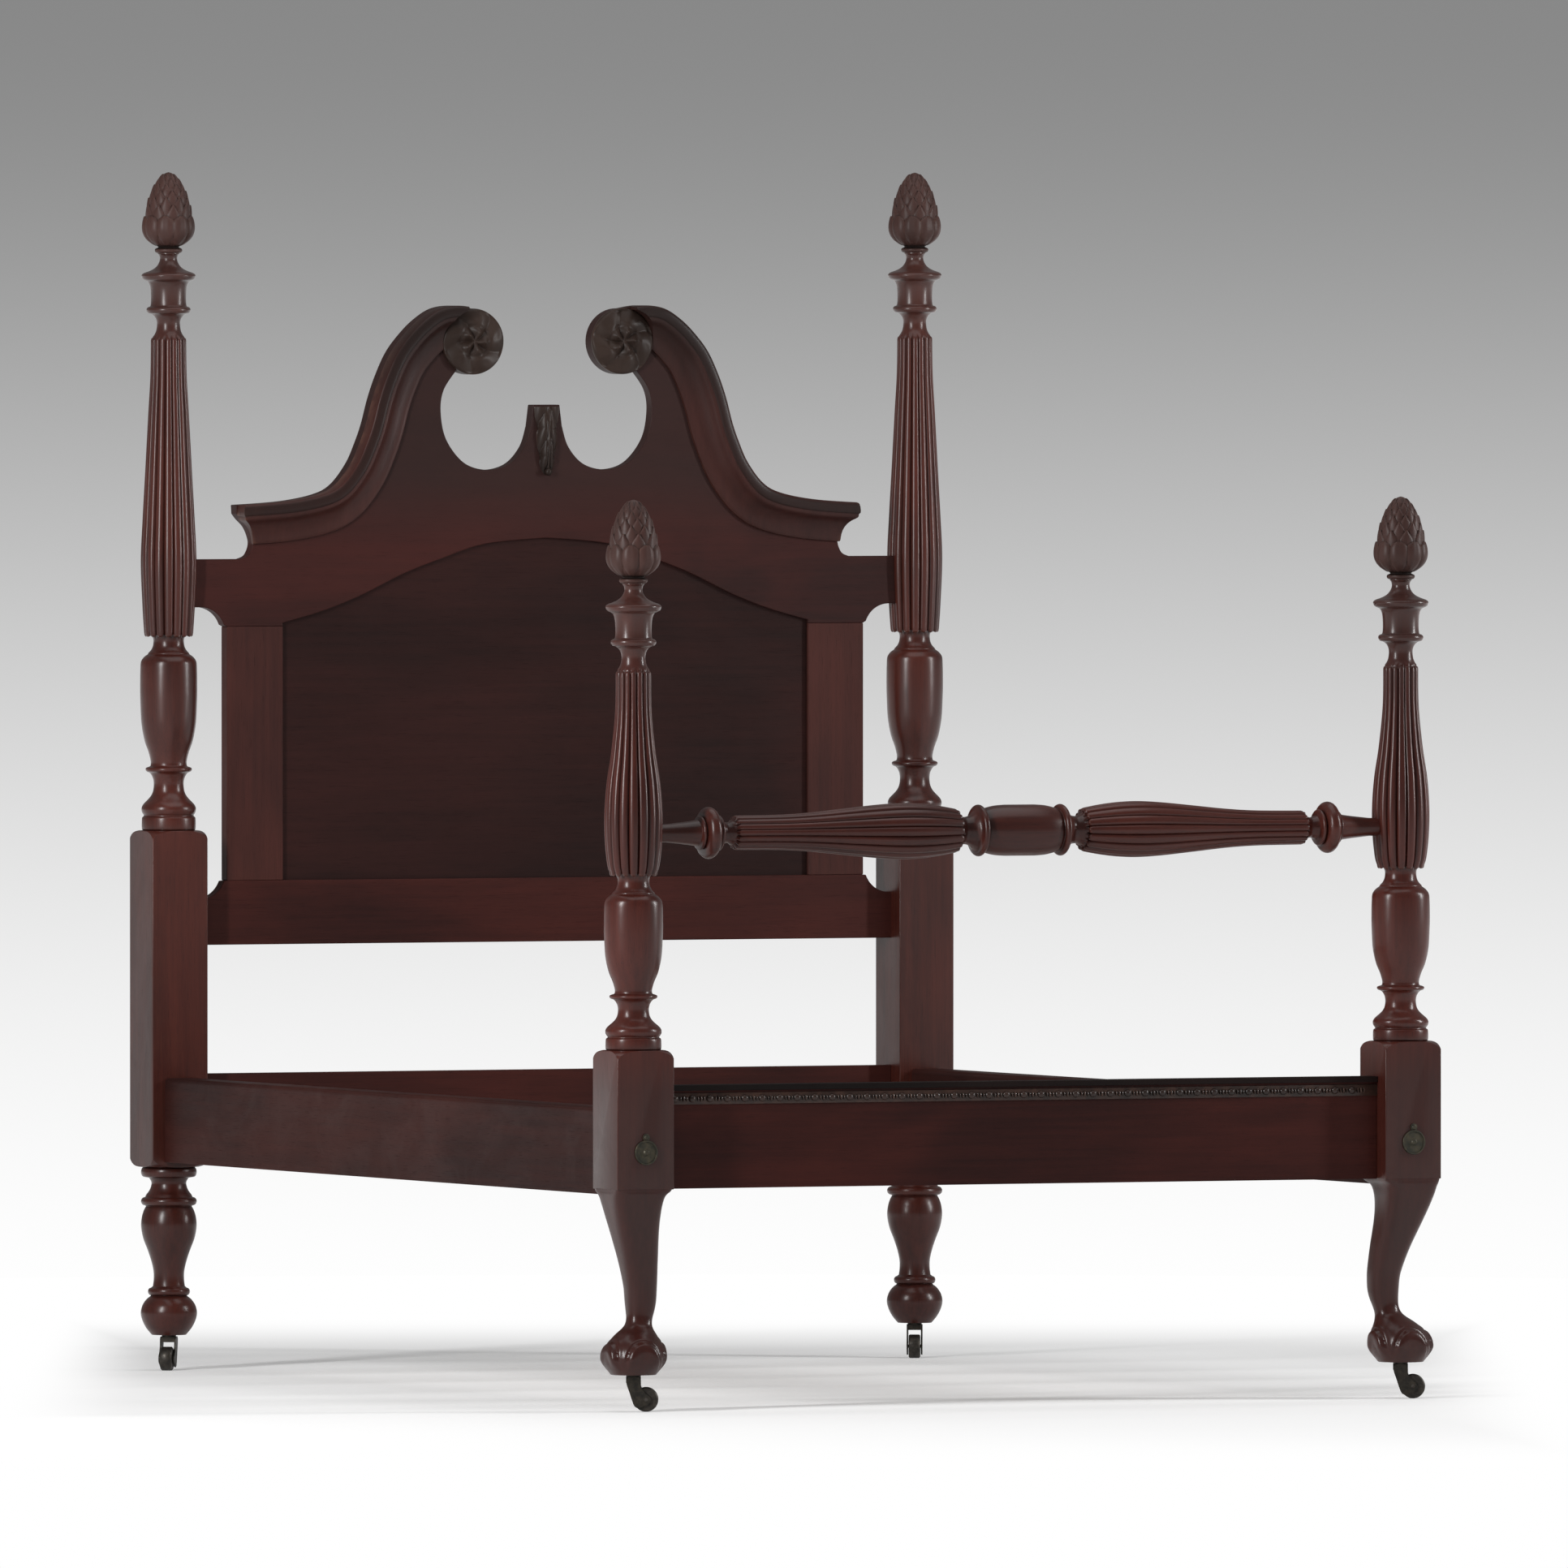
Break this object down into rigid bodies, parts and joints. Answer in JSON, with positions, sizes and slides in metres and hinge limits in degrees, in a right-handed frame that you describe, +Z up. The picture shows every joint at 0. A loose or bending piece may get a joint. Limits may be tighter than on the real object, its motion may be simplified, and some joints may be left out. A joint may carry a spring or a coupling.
{
  "type": "four-poster bed",
  "caption": "Four-poster bed with turned posts, pineapple finials, swan-neck headboard, turned blanket rail, claw feet at the foot end and swivelling casters.",
  "frame": {"origin": "on the floor, in the middle between the four posts", "axes": "+Z up, +Y towards the head end, +X to the right when seen from the foot end"},
  "size_m": [1.588, 2.209, 2.171],
  "materials": {
    "post_mahogany": "dark red-brown mahogany, polished satin finish, slightly worn",
    "board_mahogany": "dark red-brown mahogany, polished satin finish with a vertical or lengthwise grain",
    "panel_mahogany": "figured dark mahogany panel, satin",
    "carved_mahogany": "carved mahogany, darker in the hollows",
    "dark_cap": "nearly black stained mahogany strip, satin",
    "hidden_timber": "plain unpolished timber",
    "old_brass": "old cast brass with a green-brown patina",
    "dark_iron": "dark oiled iron",
    "wheel_iron": "dark worn metal tread"
  },
  "bodies": {
    "bed": {"head_post_left": "post_mahogany", "head_post_right": "post_mahogany", "foot_post_left": "post_mahogany", "foot_post_right": "post_mahogany", "head_finial_left": "post_mahogany", "head_finial_right": "post_mahogany", "foot_finial_left": "post_mahogany", "foot_finial_right": "post_mahogany", "blanket_rail": "post_mahogany", "headboard_crest": "board_mahogany", "headboard_stile_left": "board_mahogany", "headboard_stile_right": "board_mahogany", "headboard_bottom_rail": "board_mahogany", "head_lower_rail": "board_mahogany", "foot_rail": "board_mahogany", "side_rail_left": "board_mahogany", "side_rail_right": "board_mahogany", "swan_moulding_left": "board_mahogany", "swan_moulding_right": "board_mahogany", "headboard_panel": "panel_mahogany", "rosette_left": "carved_mahogany", "rosette_right": "carved_mahogany", "pendant_leaf": "carved_mahogany", "foot_rail_beading": "carved_mahogany", "foot_rail_cap": "dark_cap", "slats": "hidden_timber", "ledger_left": "hidden_timber", "ledger_right": "hidden_timber", "rail_pegs": "hidden_timber", "cover_screws": "old_brass", "caster_sockets": "old_brass", "bed_bolts": "dark_iron", "bolt_nuts": "dark_iron", "ledger_screws": "dark_iron"},
    "caster_head_left": {"caster_horn_head_left": "old_brass", "caster_axle_head_left": "dark_iron"},
    "caster_head_right": {"caster_horn_head_right": "old_brass", "caster_axle_head_right": "dark_iron"},
    "caster_foot_left": {"caster_horn_foot_left": "old_brass", "caster_axle_foot_left": "dark_iron"},
    "caster_foot_right": {"caster_horn_foot_right": "old_brass", "caster_axle_foot_right": "dark_iron"},
    "wheel_head_left": {"caster_wheel_head_left": "wheel_iron"},
    "wheel_head_right": {"caster_wheel_head_right": "wheel_iron"},
    "wheel_foot_left": {"caster_wheel_foot_left": "wheel_iron"},
    "wheel_foot_right": {"caster_wheel_foot_right": "wheel_iron"},
    "cover_head_left": {"bolt_cover_head_left": "old_brass"},
    "cover_head_right": {"bolt_cover_head_right": "old_brass"},
    "cover_foot_left": {"bolt_cover_foot_left": "old_brass"},
    "cover_foot_right": {"bolt_cover_foot_right": "old_brass"}
  },
  "joints": [
    {"name": "swivel_head_left", "type": "hinge", "parent": "bed", "child": "caster_head_left", "pos_m": [-0.74, 1.045, 0.06], "axis": [0, 0, 1], "continuous": true},
    {"name": "roll_head_left", "type": "hinge", "parent": "caster_head_left", "child": "wheel_head_left", "pos_m": [-0.75166, 1.02634, 0.0215], "axis": [0.848, -0.5299, 0], "continuous": true},
    {"name": "swivel_head_right", "type": "hinge", "parent": "bed", "child": "caster_head_right", "pos_m": [0.74, 1.045, 0.06], "axis": [0, 0, 1], "continuous": true},
    {"name": "roll_head_right", "type": "hinge", "parent": "caster_head_right", "child": "wheel_head_right", "pos_m": [0.7307, 1.02506, 0.0215], "axis": [0.9063, -0.4226, 0], "continuous": true},
    {"name": "swivel_foot_left", "type": "hinge", "parent": "bed", "child": "caster_foot_left", "pos_m": [-0.74, -1.045, 0.06], "axis": [0, 0, 1], "continuous": true},
    {"name": "roll_foot_left", "type": "hinge", "parent": "caster_foot_left", "child": "wheel_foot_left", "pos_m": [-0.7199, -1.05395, 0.0215], "axis": [0.4067, 0.9135, 0], "continuous": true},
    {"name": "swivel_foot_right", "type": "hinge", "parent": "bed", "child": "caster_foot_right", "pos_m": [0.74, -1.045, 0.06], "axis": [0, 0, 1], "continuous": true},
    {"name": "roll_foot_right", "type": "hinge", "parent": "caster_foot_right", "child": "wheel_foot_right", "pos_m": [0.7601, -1.05395, 0.0215], "axis": [0.4067, 0.9135, 0], "continuous": true},
    {"name": "cover_swing_head_left", "type": "hinge", "parent": "bed", "child": "cover_head_left", "pos_m": [-0.74, 1.1005, 0.4805], "axis": [0, 1, 0], "range_deg": [-120, 120]},
    {"name": "cover_swing_head_right", "type": "hinge", "parent": "bed", "child": "cover_head_right", "pos_m": [0.74, 1.1005, 0.4805], "axis": [0, 1, 0], "range_deg": [-120, 120]},
    {"name": "cover_swing_foot_left", "type": "hinge", "parent": "bed", "child": "cover_foot_left", "pos_m": [-0.74, -1.1005, 0.4805], "axis": [0, 1, 0], "range_deg": [-120, 120]},
    {"name": "cover_swing_foot_right", "type": "hinge", "parent": "bed", "child": "cover_foot_right", "pos_m": [0.74, -1.1005, 0.4805], "axis": [0, 1, 0], "range_deg": [-120, 120]}
  ]
}
